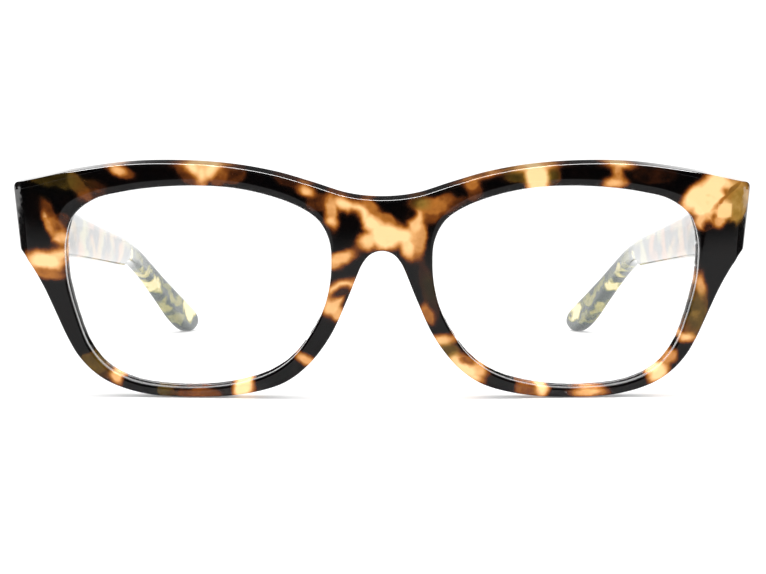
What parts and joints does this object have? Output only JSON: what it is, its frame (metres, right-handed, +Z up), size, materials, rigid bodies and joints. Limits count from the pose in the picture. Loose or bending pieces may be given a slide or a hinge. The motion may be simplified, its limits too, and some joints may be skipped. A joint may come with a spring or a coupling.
{
  "type": "glasses",
  "caption": "Chunky tortoiseshell acetate glasses with clear lenses, a saddle bridge, bevelled end-pieces and folding temples that curve down behind the ears.",
  "frame": {"origin": "middle of the object's box at table height, between the left and right halves; Z 0 is the plane that both rims and both temple tips stand on", "axes": "+Z up; the front faces -Y and the temples run towards +Y; +X is the wearer's left"},
  "size_m": [0.1446, 0.1509, 0.0469],
  "materials": {
    "front_acetate": "polished acetate, tortoiseshell mix of black, red-brown, amber and cream",
    "temple_acetate": "polished acetate, tortoiseshell mix of black, red-brown, amber and cream",
    "pad_acetate": "polished acetate, brown",
    "lens": "clear, uncoated",
    "wire": "plain drawn wire",
    "hinge_steel": "satin",
    "screw_steel": "bright",
    "rivet_steel": "bright"
  },
  "bodies": {
    "front": {"front_frame": "front_acetate", "nose_pad_left": "pad_acetate", "nose_pad_right": "pad_acetate", "lens_left": "lens", "lens_right": "lens", "hinge_front_leaf_left": "hinge_steel", "hinge_front_leaf_right": "hinge_steel", "hinge_screw_left": "screw_steel", "hinge_screw_right": "screw_steel"},
    "left_arm": {"temple_left": "temple_acetate", "core_wire_left": "wire", "hinge_temple_leaf_left": "hinge_steel", "temple_rivets_left": "rivet_steel"},
    "right_arm": {"temple_right": "temple_acetate", "core_wire_right": "wire", "hinge_temple_leaf_right": "hinge_steel", "temple_rivets_right": "rivet_steel"}
  },
  "joints": [
    {"name": "left_hinge", "type": "hinge", "parent": "front", "child": "left_arm", "pos_m": [0.064, -0.06101, 0.03373], "axis": [0, -0.1564, 0.9877], "range_deg": [0, 91]},
    {"name": "right_hinge", "type": "hinge", "parent": "front", "child": "right_arm", "pos_m": [-0.064, -0.06101, 0.03373], "axis": [0, 0.1564, -0.9877], "range_deg": [0, 84]}
  ]
}
